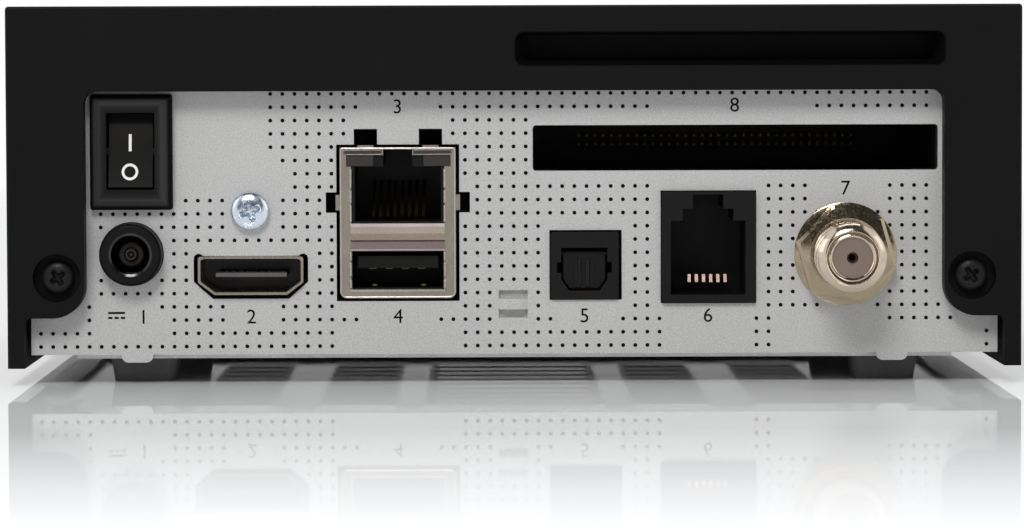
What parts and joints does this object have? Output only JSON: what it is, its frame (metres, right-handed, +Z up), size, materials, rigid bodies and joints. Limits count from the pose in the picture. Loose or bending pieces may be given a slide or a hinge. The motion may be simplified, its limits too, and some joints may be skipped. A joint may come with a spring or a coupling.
{
  "type": "satellite tv receiver",
  "caption": "Low black set-top box: pale rear panel in a cover frame, with switch, inlet, sockets, card slot and antenna connector; feet below, window and button in front.",
  "frame": {"origin": "on the table under the middle of the whole object", "axes": "+X to the right as one faces the sockets, +Y from the sockets to the front fascia, +Z up"},
  "size_m": [0.143, 0.117, 0.0535],
  "materials": {
    "cover_black": "fine matt black lacquer on sheet steel",
    "fascia_black": "polished black plastic",
    "smoked_window": "smoked see-through plastic",
    "panel_silver": "fine sandy light-grey lacquer with printed black dots",
    "tray_zinc": "plain zinc-plated sheet",
    "zinc_screw": "bluish zinc",
    "black_screw": "blackened steel",
    "black_plastic": "moulded, slight sheen",
    "rocker_black": "moulded, with white on and off marks",
    "tin": "warm tin plating",
    "nickel": "bright nickel",
    "gold": "gold flash",
    "copper": "bare copper alloy",
    "spring_steel": "plain",
    "lamp_plastic": "frosted clear guide",
    "red_lens": "red lens",
    "insulator": "tan plastic",
    "cream_plastic": "moulded nylon",
    "board_green": "green solder mask",
    "chip_black": "moulded package",
    "heat_black": "black anodised",
    "can_sleeve": "dark blue sleeve, bare top",
    "rubber": "matt dark grey",
    "lead_red": "insulation",
    "lead_black": "insulation",
    "button_black": "satin black",
    "ribbon": "flat cable"
  },
  "bodies": {
    "housing": {"top_cover": "cover_black", "front_fascia": "fascia_black", "fascia_window": "smoked_window", "base_tray": "tray_zinc", "rear_panel": "panel_silver", "cover_screws": "black_screw", "panel_screw": "zinc_screw", "rear_feet": "rubber", "front_feet": "rubber", "switch_body": "black_plastic", "switch_terminals": "tin", "switch_lead_live": "lead_red", "switch_lead_return": "lead_black", "lead_plug": "cream_plastic", "lead_header": "cream_plastic", "power_jack_body": "black_plastic", "power_jack_pin": "nickel", "power_jack_spring": "tin", "video_jack_shroud": "tin", "video_jack_tongue": "black_plastic", "video_jack_contacts": "gold", "stack_shield": "tin", "stack_housing": "black_plastic", "stack_contacts": "gold", "stack_lamps": "lamp_plastic", "optical_jack_body": "black_plastic", "optical_emitter": "red_lens", "serial_jack_body": "black_plastic", "serial_contacts": "gold", "tuner_can": "tin", "tuner_lid": "tin", "antenna_barrel": "nickel", "antenna_insulator": "insulator", "antenna_contact": "gold", "antenna_nut": "nickel", "antenna_washer": "nickel", "card_guide": "black_plastic", "card_lid": "tray_zinc", "card_header": "black_plastic", "card_pins": "gold", "main_board": "board_green", "board_posts": "zinc_screw", "board_screws": "zinc_screw", "processor_chip": "chip_black", "heat_sink": "heat_black", "memory_chips": "chip_black", "capacitors": "can_sleeve", "front_board": "board_green", "display_module": "chip_black", "ir_receiver": "chip_black", "status_lamp": "lamp_plastic", "key_switch": "chip_black", "front_cable": "ribbon"},
    "rocker": {"switch_rocker": "rocker_black", "switch_plunger": "nickel", "switch_spring": "spring_steel"},
    "seesaw": {"switch_seesaw": "copper"},
    "shutter": {"optical_shutter": "black_plastic"},
    "standby_key": {"standby_button": "button_black"},
    "key_plunger": {"key_plunger": "chip_black"}
  },
  "joints": [
    {"name": "rocker_turn", "type": "hinge", "parent": "housing", "child": "rocker", "pos_m": [-0.0541, -0.0472, 0.0331], "axis": [1, 0, 0], "range_deg": [0, 20]},
    {"name": "seesaw_turn", "type": "hinge", "parent": "housing", "child": "seesaw", "pos_m": [-0.0541, -0.0372, 0.0331], "axis": [1, 0, 0], "range_deg": [-16, 0]},
    {"name": "shutter_swing", "type": "hinge", "parent": "housing", "child": "shutter", "pos_m": [0.00988, -0.045, 0.01845], "axis": [1, 0, 0], "range_deg": [0, 78], "stiffness_Nm_per_rad": 0.0004, "springref_deg": -20.05},
    {"name": "standby_press", "type": "slide", "parent": "housing", "child": "standby_key", "axis": [0, -1, 0], "range_m": [0, 0.0005], "stiffness_N_per_m": 400, "springref_m": -0.0005},
    {"name": "key_press", "type": "slide", "parent": "housing", "child": "key_plunger", "axis": [0, -1, 0], "range_m": [0, 0.0005]}
  ],
  "couplings": [
    {"joint": "seesaw_turn", "follows": "rocker_turn", "ratio": -0.8},
    {"joint": "key_press", "follows": "standby_press", "ratio": 1}
  ]
}
